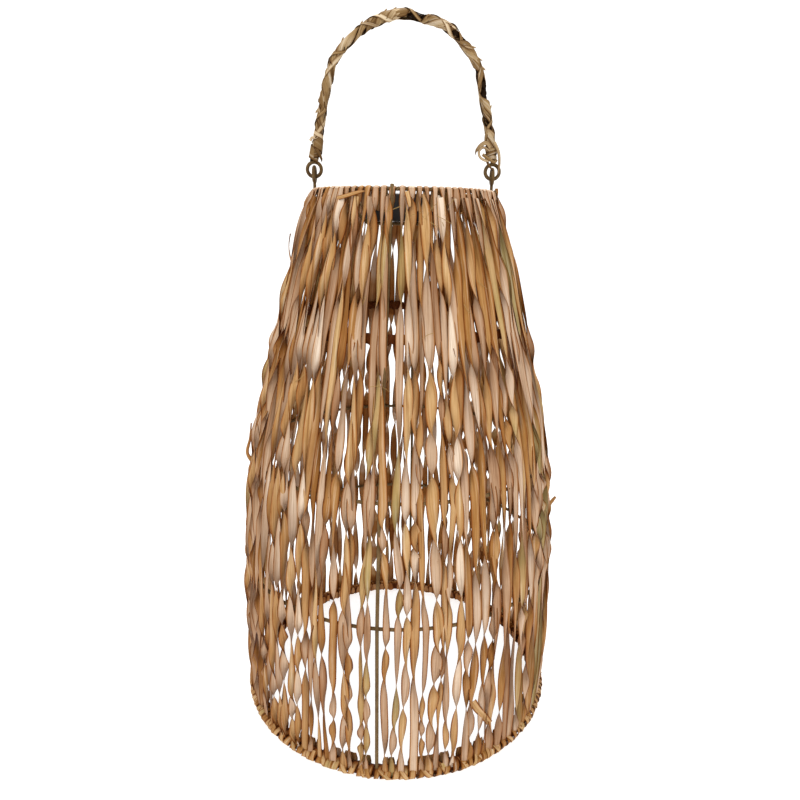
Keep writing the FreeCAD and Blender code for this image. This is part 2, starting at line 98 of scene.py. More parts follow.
class Number:
    """A number carried by a socket; arithmetic on it adds Math nodes to its material."""

    def __init__(self, finish, socket):
        self.finish = finish
        self.socket = socket

    def math(self, operation, *others):
        """This number, and any others after it, put through a Math node."""
        return self.finish.calculate(operation, self, *others)

    def __add__(self, other):
        return self.math("ADD", other)

    __radd__ = __add__

    def __sub__(self, other):
        return self.math("SUBTRACT", other)

    def __rsub__(self, other):
        return self.finish.calculate("SUBTRACT", other, self)

    def __mul__(self, other):
        return self.math("MULTIPLY", other)

    __rmul__ = __mul__

    def __abs__(self):
        return self.math("ABSOLUTE")


class Nodes:
    """A node tree being built."""

    def __init__(self, tree):
        self.tree = tree

    def node(self, kind, settings=None, inputs=None):
        """Any node: its settings first, then the values or links of its sockets."""
        made = self.tree.nodes.new(kind)
        for key, given in (settings or {}).items():
            if key == "stops":
                ramp = made.color_ramp
                while len(ramp.elements) < len(given):
                    ramp.elements.new(1.0)
                for element, (position, colour) in zip(ramp.elements, given):
                    element.position = position
                    element.color = (*colour, 1.0)
            else:
                setattr(made, key, given)
        for key, given in (inputs or {}).items():
            self.feed(made.inputs[key], given)
        return made

    def feed(self, socket, given):
        """Put a value or a link into a socket."""
        given = getattr(given, "socket", given)
        if isinstance(given, bpy.types.NodeSocket):
            self.tree.links.new(given, socket)
        else:
            socket.default_value = given

    def number(self, kind, settings=None, inputs=None):
        """A node whose first output is a number."""
        return Number(self, self.node(kind, settings, inputs).outputs[0])

    def colour(self, kind, settings=None, inputs=None, output=0):
        """A node whose output is a colour, a vector or a place."""
        return self.node(kind, settings, inputs).outputs[output]

    def calculate(self, operation, *given):
        """A Math node's result for numbers and carried numbers."""
        return self.number("ShaderNodeMath", {"operation": operation}, dict(enumerate(given)))

    def mix(self, share, first, second, blend="MIX"):
        """One colour blended with another by a share."""
        settings = {"data_type": "RGBA", "blend_type": blend, "clamp_factor": True}
        return self.colour("ShaderNodeMix", settings, {0: share, 6: first, 7: second}, 2)

    def place(self, scale, source="Object", offset=(0.0, 0.0, 0.0)):
        """Object or UV coordinates, scaled."""
        start = self.colour("ShaderNodeTexCoord", output=source)
        return self.colour("ShaderNodeMapping", None, {0: start, 1: offset, 3: scale})

    def noise(self, where, scale=1.0, detail=2.0, roughness=0.5):
        """Soft noise from 0 to 1 at a place."""
        inputs = {"Vector": where, "Scale": scale, "Detail": detail, "Roughness": roughness}
        return self.number("ShaderNodeTexNoise", None, inputs)

    def ramp(self, amount, *stops):
        """A colour picked by an amount from stops, each a position and a colour."""
        return self.colour("ShaderNodeValToRGB", {"stops": stops}, {0: amount})

    def between(self, amount, low, high, first=0.0, second=1.0):
        """A number moved from the range low..high to first..second, and held there."""
        inputs = {0: amount, 1: low, 2: high, 3: first, 4: second}
        return self.number("ShaderNodeMapRange", {"clamp": True}, inputs)


class Finish(Nodes):
    """A material being built on one Principled shader."""

    def __init__(self, name, **constants):
        self.material = bpy.data.materials.new(name)
        self.material.use_nodes = True
        super().__init__(self.material.node_tree)
        self.shader = self.tree.nodes["Principled BSDF"]
        for socket, given in constants.items():
            self.shader.inputs[socket.replace("_", " ")].default_value = given

    def bump(self, height, strength, distance):
        """Roughen the surface by a height."""
        inputs = {"Strength": strength, "Distance": distance, "Height": height}
        self.set("Normal", self.colour("ShaderNodeBump", None, inputs))

    def set(self, socket, given):
        """Put a value or a link into one of the shader's sockets."""
        self.feed(self.shader.inputs[socket], given)


# Finishes


def grey(level):
    """A colour with the same level in each channel."""
    return (level, level, level)


def leaf_finish(name, outer, inner, shade, crevice_shade, marked):
    """Dried leaf. One side takes its colour from the outer stops and the other from the inner ones; the
    tint attribute holds the outer side's tone, which side it is, how much painted shade it has, and the
    inner side's tone. Leaf with painted shade is multiplied by a colour that goes from white through
    the shade colour to the painted crevice shadow. Fibres, blotches and crinkles follow the strip's own
    UV map, in metres."""
    finish = Finish(name, Specular_IOR_Level=0.14, Specular_Tint=(1.0, 0.80, 0.55, 1.0))
    tint = finish.node("ShaderNodeVertexColor", {"layer_name": "tint"})
    parts = finish.node("ShaderNodeSeparateColor", None, {0: tint.outputs[0]})
    tone, side, shaded = (Number(finish, parts.outputs[i]) for i in range(3))
    other_tone = Number(finish, tint.outputs[1])

    fibres = finish.noise(finish.place((1150.0, 22.0, 1.0), "UV"), detail=4.0, roughness=0.65)
    streaks = finish.noise(finish.place((430.0, 9.0, 1.0), "UV"), detail=2.0)
    blotches = finish.noise(finish.place((110.0, 38.0, 1.0), "UV", (3.1, 1.7, 0.0)), detail=4.0)
    crinkles = finish.noise(finish.place((160.0, 900.0, 1.0), "UV"), detail=3.0, roughness=0.7)

    drift = (blotches - 0.5) * 0.5
    skin = finish.ramp(tone + drift, *outer)
    flesh = finish.ramp(other_tone + drift, *inner)
    colour = finish.mix(side, skin, flesh)
    grain = fibres * 0.55 + streaks * 0.45
    dark_lines = finish.between(grain, 0.49, 0.34, 0.0, marked)
    colour = finish.mix(dark_lines, colour, (0.36, 0.21, 0.09, 1.0), "MULTIPLY")
    pale_lines = finish.between(grain, 0.53, 0.68, 0.0, 0.36)
    colour = finish.mix(pale_lines, colour, (1.0, 0.95, 0.86, 1.0), "SCREEN")
    spots = finish.between(blotches * 0.6 + crinkles * 0.4, 0.36, 0.28, 0.0, 0.6)
    colour = finish.mix(spots, colour, (0.42, 0.22, 0.08, 1.0), "MULTIPLY")
    # Painted shade: the tint's shade amount darkens the leaf through the shade colour to a painted
    # crevice shadow
    shadow = finish.ramp(shaded, (0.0, grey(1.0)), (0.6, shade), (1.0, crevice_shade))
    colour = finish.mix(1.0, colour, shadow, "MULTIPLY")
    finish.set("Base Color", colour)
    finish.set("Roughness", finish.between(streaks, 0.3, 0.7, 0.48, 0.72))
    finish.bump(fibres * 0.6 + crinkles * 0.25 + streaks * 0.5, 0.7, 0.0006)
    return finish.material


def wire_finish():
    """Frame wire with a dull khaki coat, browned and rubbed in patches."""
    finish = Finish("frame_wire", Specular_IOR_Level=0.2, Specular_Tint=(1.0, 0.85, 0.65, 1.0))
    where = finish.place((1.0, 1.0, 1.0))
    coat = finish.noise(where, 60.0, 4.0, 0.6)
    fine = finish.noise(where, 900.0, 3.0, 0.65)
    colour = finish.ramp(
        coat * 0.7 + fine * 0.3,
        (0.30, (0.050, 0.024, 0.008)),
        (0.45, (0.105, 0.062, 0.024)),
        (0.60, (0.165, 0.108, 0.048)),
        (0.75, (0.260, 0.185, 0.095)),
    )
    finish.set("Base Color", colour)
    finish.set("Roughness", finish.between(fine, 0.3, 0.7, 0.42, 0.66))
    finish.bump(fine, 0.35, 0.0003)
    return finish.material


def moulded_finish(name, dark, light, rough, coat=0.0):
    """Moulded plastic: a colour that drifts a little, a fine texture and fingerprints in its gloss."""
    finish = Finish(name, Coat_Weight=coat, Specular_IOR_Level=0.3)
    where = finish.place((1.0, 1.0, 1.0))
    drift = finish.noise(where, 70.0, 3.0)
    grain = finish.noise(where, 1500.0, 2.0)
    finish.set("Base Color", finish.mix(drift, (*dark, 1.0), (*light, 1.0)))
    finish.set("Roughness", finish.between(drift, 0.3, 0.7, rough - 0.08, rough + 0.1))
    finish.bump(grain, 0.15, 0.0001)
    return finish.material


def metal_finish(name, dark, light, rough):
    """Bright metal with a brushed grain and a little tarnish."""
    finish = Finish(name, Metallic=1.0)
    grain = finish.noise(finish.place((300.0, 300.0, 4000.0)), 1.0, 3.0)
    tarnish = finish.noise(finish.place((1.0, 1.0, 1.0)), 240.0, 4.0)
    finish.set("Base Color", finish.mix(tarnish, (*dark, 1.0), (*light, 1.0)))
    finish.set("Roughness", finish.between(grain, 0.3, 0.7, rough - 0.08, rough + 0.12))
    finish.bump(grain, 0.1, 0.00005)
    return finish.material


def cell_finish():
    """A solar cell: deep blue crystal in squares, with fine silver fingers and two wider bars."""
    finish = Finish("solar_cell", Specular_IOR_Level=0.6)
    axes = finish.node("ShaderNodeSeparateXYZ", None, {0: finish.place((1.0, 1.0, 1.0))})
    across, along = (Number(finish, axes.outputs[i]) for i in range(2))
    flat = finish.place((1.0, 1.0, 0.0))
    crystal = finish.number("ShaderNodeTexVoronoi", None, {"Vector": flat, "Scale": 260.0})
    blue = finish.mix(crystal * 1.2, (0.006, 0.012, 0.045, 1.0), (0.018, 0.040, 0.120, 1.0))
    fingers = abs((across * 620.0).math("FRACT") - 0.5)
    bars = abs((along * 70.0 + 0.5).math("FRACT") - 0.5)
    lines = finish.between(fingers, 0.44, 0.47).math("MAXIMUM", finish.between(bars, 0.05, 0.03))
    finish.set("Base Color", finish.mix(lines, blue, (0.45, 0.47, 0.50, 1.0)))
    finish.set("Roughness", finish.between(lines, 0.0, 1.0, 0.22, 0.42))
    return finish.material


def board_finish():
    """A green circuit board with paler tracks under its lacquer."""
    finish = Finish("board", Specular_IOR_Level=0.5)
    tracks = finish.number(
        "ShaderNodeTexVoronoi",
        {"distance": "CHEBYCHEV", "feature": "F2"},
        {"Vector": finish.place((1.0, 1.0, 1.0)), "Scale": 380.0},
    )
    weave = finish.noise(finish.place((1.0, 1.0, 1.0)), 2400.0)
    edge = finish.between(tracks, 0.52, 0.60)
    finish.set("Base Color", finish.mix(edge, (0.010, 0.085, 0.030, 1.0), (0.030, 0.200, 0.075, 1.0)))
    finish.set("Roughness", finish.between(weave, 0.3, 0.7, 0.30, 0.45))
    return finish.material


def clear_finish():
    """A clear cover: nearly see-through, with its gloss and a little fine dust left on it."""
    finish = Finish("clear_cover", IOR=1.47)
    dust = finish.noise(finish.place((1.0, 1.0, 1.0)), 500.0, 4.0, 0.7)
    finish.set("Base Color", finish.mix(dust, (0.10, 0.11, 0.13, 1.0), (0.32, 0.32, 0.31, 1.0)))
    finish.set("Roughness", finish.between(dust, 0.45, 0.75, 0.06, 0.24))
    finish.set("Alpha", finish.between(dust, 0.40, 0.75, 0.14, 0.34))
    return finish.material


def frosted_finish():
    """A milky lens that spreads the lamp's light."""
    finish = Finish("frosted_lens", Transmission_Weight=0.45, IOR=1.45)
    milk = finish.noise(finish.place((1.0, 1.0, 1.0)), 180.0, 3.0)
    finish.set("Base Color", finish.mix(milk, (0.90, 0.90, 0.86, 1.0), (0.80, 0.81, 0.78, 1.0)))
    finish.set("Roughness", finish.between(milk, 0.3, 0.7, 0.45, 0.62))
    finish.bump(finish.noise(finish.place((1.0, 1.0, 1.0)), 1800.0), 0.2, 0.0001)
    return finish.material


def floor_finish():
    """A plain pale floor with a little glow of its own, so that it stays even."""
    glow = {"Emission_Color": (1.0, 1.0, 1.0, 1.0), "Emission_Strength": 0.8}
    finish = Finish("pale_floor", Specular_IOR_Level=0.1, **glow)
    mottle = finish.noise(finish.place((1.0, 1.0, 1.0)), 3.0, 3.0)
    finish.set("Base Color", finish.mix(mottle, (*grey(0.44), 1.0), (*grey(0.48), 1.0)))
    finish.set("Roughness", finish.between(mottle, 0.3, 0.7, 0.85, 0.95))
    return finish.material


# Mesh building


SHARP_ANGLE = math.radians(50.0)
OTHER_SIDE = 0.02  # how far the two sides of a strip lie apart in its UV map, in metres
MAP_MIDDLE = 0.1


def unit(vectors):
    """Vectors divided by their lengths."""
    return vectors / np.maximum(np.linalg.norm(vectors, axis=-1, keepdims=True), 1e-12)


def shell_faces(rings, around):
    """Quads of a closed tube of rings: point j of ring i joins point j + 1 and the same two of ring
    i + 1; each end is closed by quads across its own ring, from point j to point around - 1 - j."""
    ring, spot = np.meshgrid(np.arange(rings - 1), np.arange(around), indexing="ij")
    after = (spot + 1) % around
    this, following = ring * around, (ring + 1) * around
    corners = [this + spot, this + after, following + after, following + spot]
    sides = np.stack(corners, axis=-1).reshape(-1, 4)
    half = np.arange(around // 2 - 1)
    cap = np.stack([half, around - 1 - half, around - 2 - half, half + 1], axis=-1)
    return np.concatenate([sides, cap, cap[:, ::-1] + (rings - 1) * around])


def make_piece(name, shells, material, body, replaced=()):
    """One mesh from shells, each a dict of points (rings, around, 3) in millimetres, a UV (rings,
    around, 2) in metres and a tint (rings, around, 4). A shell is turned inside out where its volume,
    the sum over its triangles of corner a dot (corner b cross corner c), comes out negative."""
    points, faces, maps, tints = [], [], [], []
    start = 0
    for shell in shells:
        rings, around = shell["points"].shape[:2]
        corners = shell["points"].reshape(-1, 3)
        quads = shell_faces(rings, around)
        middle = corners.mean(axis=0)
        a, b, c, d = (corners[quads[:, i]] - middle for i in range(4))
        volume = (a * np.cross(b, c)).sum() + (a * np.cross(c, d)).sum()
        if volume < 0:
            quads = quads[:, ::-1]
        points.append(corners)
        faces.append(quads + start)
        maps.append(shell["uv"].reshape(-1, 2))
        tints.append(shell["tint"].reshape(-1, 4))
        start += len(corners)
    points = np.concatenate(points) * MM
    faces = np.concatenate(faces)
    mesh = bpy.data.meshes.new(name)
    mesh.from_pydata(points.tolist(), [], faces.tolist())
    mesh.polygons.foreach_set("use_smooth", np.ones(len(faces), bool))
    layer = mesh.uv_layers.new(name="UVMap")
    spread = np.concatenate(maps)[faces.reshape(-1)]
    layer.data.foreach_set("uv", spread.astype(np.float32).reshape(-1))
    tint = mesh.color_attributes.new("tint", "FLOAT_COLOR", "POINT")
    tint.data.foreach_set("color", np.concatenate(tints).astype(np.float32).reshape(-1))
    mesh.set_sharp_from_angle(angle=SHARP_ANGLE)
    mesh.update()
    piece = bpy.data.objects.new(name, mesh)
    scene.collection.objects.link(piece)
    mesh.materials.append(material)
    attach(piece, body)
    if replaced:
        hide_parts(*replaced)


def section(columns):
    """The walk round a strip's section: shares of its width from -1 to 1 on one side, and back on the
    other. Even steps e become e * (1.5 - e^2 / 2), which crowds them at the edges."""
    even = np.linspace(-1.0, 1.0, columns)
    across = even * (1.5 - 0.5 * even**2)
    return np.concatenate([across, across[::-1]]), np.repeat([1.0, -1.0], columns)


def strip_shells(line, across, face, width, thickness, cup, tones, columns, start=0, added_shade=None):
    """Strips of leaf. A point at share u of the width is line + across * u * w / 2
    + face * (cup * (1 - u^2) - cup / 2 + s * t / 2 * (1 - 0.7 * u^4)), with s = 1 on one side and -1 on
    the other. Its tint is the tone, the side, its painted shade, and the other tone. The painted shade
    grows where the side faces the lantern's axis and towards the strip's edges, and adds any painted
    shade that is given for each station."""
    share, side = section(columns)
    width, thickness, cup = (
        np.broadcast_to(amount, line.shape[:-1])[..., None] for amount in (width, thickness, cup)
    )
    rise = cup * (0.5 - share**2) + side * thickness / 2 * (1 - 0.7 * share**4)
    points = (
        line[..., None, :]
        + across[..., None, :] * (share * width / 2)[..., None]
        + face[..., None, :] * rise[..., None]
    )
    steps = np.linalg.norm(np.diff(line, axis=-2), axis=-1)
    along = np.concatenate([np.zeros_like(steps[..., :1]), np.cumsum(steps, axis=-1)], axis=-1)
    outward = unit(line * np.array([1.0, 1.0, 0.0]))
    facing = (face * outward).sum(axis=-1)[..., None] * side
    shells = []
    added_shade = np.zeros(line.shape[:2] + (1,)) if added_shade is None else added_shade[..., None]
    for index in range(line.shape[0]):
        uv = np.empty(points.shape[1:3] + (2,))
        uv[..., 0] = share * width[index] / 2 * MM + side * OTHER_SIDE + MAP_MIDDLE
        uv[..., 1] = along[index][:, None] * MM + 0.61 * (index + start)
        tint = np.empty(points.shape[1:3] + (4,))
        tint[..., 0] = tones[index][0]
        tint[..., 1] = (1 - side) / 2
        # Painted shade where the side faces the lantern's axis, and a painted shadow along the strip's
        # edges
        shade = np.clip(-3.2 - facing[index] * 4.0, 0.0, 0.42)
        edge = 1.2 * share**6 * (0.3 + 0.7 * np.abs(facing[index]))
        tint[..., 2] = np.clip(shade + edge + added_shade[index], 0.0, 1.0)
        tint[..., 3] = tones[index][1]
        shells.append({"points": points[index], "uv": uv, "tint": tint})
    return shells


def wound_band(carrier, span, turns, width, radius, lift, thickness, tones, stations, hand=1,
               phase=0.0, columns=5, squash=1.0, wander=0.0, painted_shade=0.0):
    """A band of leaf wound on a line. At share v of the span and share u of the width it lies at
    distance a = start + v * length - u * w / 2 * sin(b) along the line, and at angle
    p = hand * (2 pi * turns * v + phase + u * w / 2 * cos(b) / radius) round it, where b is the band's
    angle to the line. Its height off the line is radius(v) + lift * (u + 1) / 2, and the outer side
    adds the thickness. The height is multiplied by squash along the line's second direction."""
    share, side = section(columns)
    v = np.linspace(0.0, 1.0, stations)[:, None]
    length = span[1] - span[0]
    mean = float(np.mean(radius))
    slope = math.atan2(2 * math.pi * mean * turns, length)
    wide = np.broadcast_to(width, (stations,))[:, None]
    ends = np.clip(np.minimum(v, 1 - v) * stations / 4, 0.25, 1.0)
    half = share * wide * ends / 2
    distance = span[0] + v * length - half * math.sin(slope)
    swing = wander * np.interp(v * turns * 3, np.arange(400), chance.normal(0, 1, 400))
    angle = hand * (2 * math.pi * turns * v + phase + swing + half * math.cos(slope) / mean)
    high = np.broadcast_to(radius, (stations,))[:, None] + lift * (share + 1) / 2
    high = high + thickness * (side + 1) / 2
    centre, first, second = carrier(distance)
    points = centre + high[..., None] * (
        first * np.cos(angle)[..., None] + second * (squash * np.sin(angle))[..., None]
    )
    uv = np.empty(points.shape[:2] + (2,))
    uv[..., 0] = half * MM + side * OTHER_SIDE + MAP_MIDDLE
    uv[..., 1] = v * math.hypot(length, 2 * math.pi * mean * turns) * MM + phase
    tint = np.empty(points.shape[:2] + (4,))
    tint[..., 0] = tones[0]
    tint[..., 1] = (1 - side) / 2
    # Painted shade: the given amount, or its value at each angle round the line, and a painted shadow
    # along the band's edges
    shade = painted_shade(angle) if callable(painted_shade) else painted_shade
    tint[..., 2] = np.clip(shade + 0.8 * share**6, 0.0, 1.0)
    tint[..., 3] = tones[1]
    return {"points": points, "uv": uv, "tint": tint}


def hoop(radius, height):
    """A carrier for a ring: distance along it gives the place, the outward direction and the upward
    one. The place is radius * (cos, sin) of distance / radius, at the ring's height."""

    def at(distance):
        turn = distance / radius
        outward = np.stack([np.cos(turn), np.sin(turn), np.zeros_like(turn)], axis=-1)
        place = outward * radius + np.array([0.0, 0.0, height])
        return place, outward, np.broadcast_to([0.0, 0.0, 1.0], place.shape)

    return at


# Loose ends


def curve_through(points, count):
    """A smooth line through points: on each stretch, the Catmull-Rom cubic of its ends b and c and
    their neighbours a and d."""
    points = np.asarray(points, float)
    padded = np.concatenate([[2 * points[0] - points[1]], points, [2 * points[-1] - points[-2]]])
    where = np.linspace(0, len(points) - 1 - 1e-9, count)
    index = where.astype(int)
    t = (where - index)[:, None]
    a, b, c, d = (padded[index + k] for k in range(4))
    square = (2 * a - 5 * b + 4 * c - d) * t**2
    cube = (3 * b - a - 3 * c + d) * t**3
    return 0.5 * (2 * b + (c - a) * t + square + cube)


def loose_strip(points, width, facing, tones, twist=0.0, point=0.15, thickness=0.4, columns=4,
                count=28, cup=0.1):
    """A loose end of leaf along a smooth line. Its face is the given direction less its part along the
    line, turned from 0 to the twist, and its width is drawn in to a share of itself at the far end."""
    line = curve_through(points, count)
    along = unit(np.gradient(line, axis=0))
    facing = np.asarray(facing, float)
    flat = unit(facing - along * (along @ facing)[:, None])
    edge = np.cross(flat, along)
    turn = np.linspace(0, twist, count)[:, None]
    face = flat * np.cos(turn) + edge * np.sin(turn)
    across = edge * np.cos(turn) - flat * np.sin(turn)
    wide = width * np.interp(np.linspace(0, 1, count), [0, 0.7, 1], [1, 0.9, point])
    line, across, face, wide = line[None], across[None], face[None], wide[None]
    return strip_shells(line, across, face, wide, thickness, wide * cup, [tones], columns)[0]


def on_side(azimuth, height, stand):
    """A point beside the strips, at an azimuth in degrees, a height, and a distance out from the
    straight lines that join the hoops."""
    radius = np.interp(-height, -HOOP_HEIGHTS, HOOPS[:, 0]) + stand
    turn = math.radians(azimuth)
    return (radius * math.cos(turn), radius * math.sin(turn), height)


# The leaf strips


def round_wire(centre, radius, start, end, count, stretch=1.0):
    """Points round a wire between two angles in degrees, on a circle stretched outwards."""
    angle = np.radians(np.linspace(start, end, count))
    out = centre[0] + stretch * radius * np.cos(angle)
    return np.stack([out, centre[1] + radius * np.sin(angle)], axis=-1)


OUTER_STATIONS = 168
TAIL_STATIONS = 7
FOLD_STATIONS = 10
RISE_STATIONS = 5
LEAF_GAP = 0.4  # between a wire and the middle of the leaf on it
STRIP_THICKNESS = 0.42
SHOULDER_STAND = 2.6  # how far the shoulder hoop's winding stands out
BASE_STAND = 2.9
BASE_STRETCH = 1.7
RIM_LEAVE = 16.0  # the angle at which a folded strip leaves the rim, in degrees
TAIL_LOW = 462.0
LAID_TOP = (473.5, 471.5, 471.3)  # an unfolded strip's start, its end behind the rim, and its outer top
RISE_TOP = 12.0


def side_line(folded):
    """A strip's line in the lantern's half plane, as (radius, height) points from the rim to the base,
    and the outward normal there. A folded strip starts inside, goes over the rim wire and down; any
    other starts below the rim. Both end by going under the base wire and a little way up inside. The
    outer part is straight between the hoops, then smoothed three times with weights 1, 2 and 1."""
    stand = WIRE + LEAF_GAP
    leave = math.radians(RIM_LEAVE)
    knees = np.array([
        (RIM[0] + stand * math.cos(leave), RIM[1] + stand * math.sin(leave)),
        (SHOULDER[0] + SHOULDER_STAND + LEAF_GAP, SHOULDER[1]),
        (MIDDLE[0] + stand, MIDDLE[1]),
        (BELLY[0] + stand, BELLY[1]),
        (BASE[0] + BASE_STAND * BASE_STRETCH, BASE[1]),
    ])
    heights = np.linspace(knees[0, 1], knees[-1, 1], OUTER_STATIONS)
    outer = np.stack([np.interp(-heights, -knees[:, 1], knees[:, 0]), heights], axis=-1)
    soft = outer.copy()
    for _ in range(3):
        soft[1:-1, 0] = (soft[:-2, 0] + 2 * soft[1:-1, 0] + soft[2:, 0]) / 4
    if folded:
        fold = round_wire(RIM, stand, 180, 24, FOLD_STATIONS)
        low = (fold[0, 0] - 2.5, TAIL_LOW)
        tail = np.linspace(low, fold[0], TAIL_STATIONS + 1)[:-1]
        top = np.concatenate([tail, fold])
    else:
        behind = (soft[0, 0] - 1.2, LAID_TOP[0]), (soft[0, 0] - 0.1, LAID_TOP[1])
        top = np.linspace(*behind, TAIL_STATIONS + FOLD_STATIONS)
        soft[:, 1] = np.linspace(LAID_TOP[2], knees[-1, 1], OUTER_STATIONS)
        soft[:, 0] = np.interp(-soft[:, 1], -outer[:, 1], outer[:, 0])
    under = round_wire(BASE, BASE_STAND, -6, -180, FOLD_STATIONS, BASE_STRETCH)
    rise = np.linspace(under[-1], (under[-1, 0] - 1.0, RISE_TOP), RISE_STATIONS + 1)[1:]
    line = np.concatenate([top, soft, under, rise])
    along = np.gradient(line, axis=0)
    normal = unit(np.stack([-along[:, 1], along[:, 0]], axis=-1))
    return line, normal


NEIGHBOURS = [0.25, 0.5, 0.61, 0.5, 0.25]


def choices(options, count, keep):
    """Random picks where a pick repeats its neighbour's with the chance keep."""
    picks = chance.choice(options, count)
    held = chance.random(count) < keep
    for index in range(1, count):
        if held[index]:
            picks[index] = picks[index - 1]
    return picks


def much_alike(count, spread):
    """Random amounts that are nearly the same for neighbours: each is a weighted sum of five."""
    return spread * np.convolve(chance.normal(0, 1, count + 4), NEIGHBOURS, "valid")


# The half-turns to pick from between one hoop and the next, from the rim down
HALF_TURNS = (
    [1, 2, 2, 2, 2],
    [1, 2, 2, 2, 2, 3],
    [1, 2, 2, 2, 3],
    [1, 2, 2, 3, 3, 4],
)
LINGER = 0.36  # how much longer a strip stays flat than on edge
LAYER_SKEW = np.array([0.19, -0.19, 0.0])  # moves each layer's narrow places to heights of their own
STRIP_COLUMNS = 9


def strip_turns(heights, outer, layer):
    """Each strip's angle about its own line, its angle at the start, and how far it is between two
    hoops, from 0 on them to 1 halfway. It turns by n whole half-turns from one hoop to the next, so
    that it lies flat on them: with f the share of the way, its angle is
    start + hand * (pi * n * g - linger / 2 * sin(2 pi * n * g)), plus a small sway times sin(pi * f),
    where g = f + skew * sin(pi * f)^2 + ripple * sin(2 pi * f)."""
    count = len(layer)
    hand = choices([-1, 1], count, 0.6)
    start = choices([0, 1, 1], count, 0.5) * math.pi
    angle = np.zeros(heights.shape) + start[:, None]
    bulge = np.zeros(heights.shape)
    for span, options in enumerate(HALF_TURNS):
        top, low = HOOP_HEIGHTS[span], HOOP_HEIGHTS[span + 1]
        share = np.clip((top - heights) / (top - low), 0.0, 1.0)
        if span == 0:
            power = 0.72 + much_alike(count, 0.08) + chance.normal(0, 0.09, count)
            share = share ** np.clip(power, 0.5, 1.0)[:, None]
        skew = (much_alike(count, 0.05) + chance.normal(0.0, 0.05, count) + LAYER_SKEW[layer])[:, None]
        ripple = (much_alike(count, 0.03) + chance.normal(0.0, 0.03, count))[:, None]
        warped = share + skew * np.sin(math.pi * share) ** 2 + ripple * np.sin(2 * math.pi * share)
        turns = choices(options, count, 0.5)[:, None]
        wave = math.pi * turns * warped - LINGER / 2 * np.sin(2 * math.pi * turns * warped)
        angle += hand[:, None] * np.where(outer | (heights < BASE[1]), wave, 0.0)
        between = np.where(outer, np.sin(math.pi * share), 0.0)
        bulge += between
        angle += chance.normal(0, 0.22, count)[:, None] * between
    return angle, start, bulge


def strip_shifts(heights, radius, bulge, slots, layer, high_up):
    """How far each strip is moved round the lantern, and the phase of its ripples. The shift is random
    at each hoop and straight between them, with a bow of bulge times a random amount and a wave of
    bulge / 2 * sin(height / 17 + phase). Beside an upright it grows by a share of a slot, to cover
    the wire."""
    count = len(slots)
    shift = chance.normal(0.0, 1.0, (count, len(HOOP_HEIGHTS))) * [0.35, 1.3, 1.7, 1.8, 1.5]
    shift[:, 1:] += chance.normal(0.0, 0.9, (count, 1))
    shift[:, 0] += np.array([-0.25, 0.25, 0.0])[layer] * RIM_PITCH
    sideways = np.stack([np.interp(-heights[i], -HOOP_HEIGHTS, shift[i]) for i in range(count)])
    sideways += bulge * chance.normal(0.0, 0.7, (count, 1))
    phase = chance.uniform(0, 2 * math.pi, (count, 1))
    sideways += bulge * 0.5 * np.sin(heights / 17.0 + phase)
    beside = [1, 2, 3, 4, 28, 29, 30]
    drawn_in = np.interp(slots % SLOTS_PER_QUARTER, beside, [-0.85, -0.5, -0.2, 0.0, 0.0, 0.15, 0.35])
    sideways += drawn_in[:, None] * high_up * radius * 2 * math.pi / SLOTS
    return sideways, phase


def strip_depths(bulge, crowd, layer, covering, inside, outer):
    """How far each strip is moved out along its normal: (layer - 1) * (0.35 + bulge) * crowd, with a
    random amount of bulge, so that the three layers lie further apart between hoops than on them."""
    out = (layer[:, None] - 1) * (0.35 + bulge) * crowd + 0.35
    out += bulge * chance.normal(0.0, 0.5, (len(layer), 1)) * crowd
    out += covering * 2.8
    out = np.where(inside, 0.15 * layer[:, None], out)
    return np.where(outer, out, np.minimum(out, 0.3))


def strip_widths(heights, phase, start, inside):
    """Each strip's width and how deeply it is cupped. The width is the strip's own times
    1 + 0.07 * sin(height / length + 2 * phase) and a share that follows the height, and both ends
    taper; the cup is a share of the width, bent to either side."""
    count, stations = heights.shape
    wide = np.clip(chance.normal(6.5, 0.75, count), 5.1, 8.2)
    wide[chance.random(count) < 0.05] *= 1.4
    ripple = 1 + 0.07 * np.sin(heights / chance.uniform(19, 34, (count, 1)) + phase * 2)
    width = wide[:, None] * ripple
    marks = [60, 150, 260, 330, 440, 464, 476]
    width *= np.interp(heights, marks, [1.0, 1.05, 1.13, 1.08, 0.98, 0.94, 0.74])
    width = np.where(inside, np.minimum(width, 5.0), width)
    ends = [0, 3, stations - 4, stations - 1]
    width = width * np.interp(np.arange(stations), ends, [0.45, 1.0, 1.0, 0.6])
    bend = chance.choice([-1, 1], (count, 1), p=[0.3, 0.7]) * chance.uniform(0.10, 0.20, (count, 1))
    bend_inside = 0.12 * np.where(np.cos(start)[:, None] > 0, 1, -1)
    return width, width * np.where(inside, bend_inside, bend)


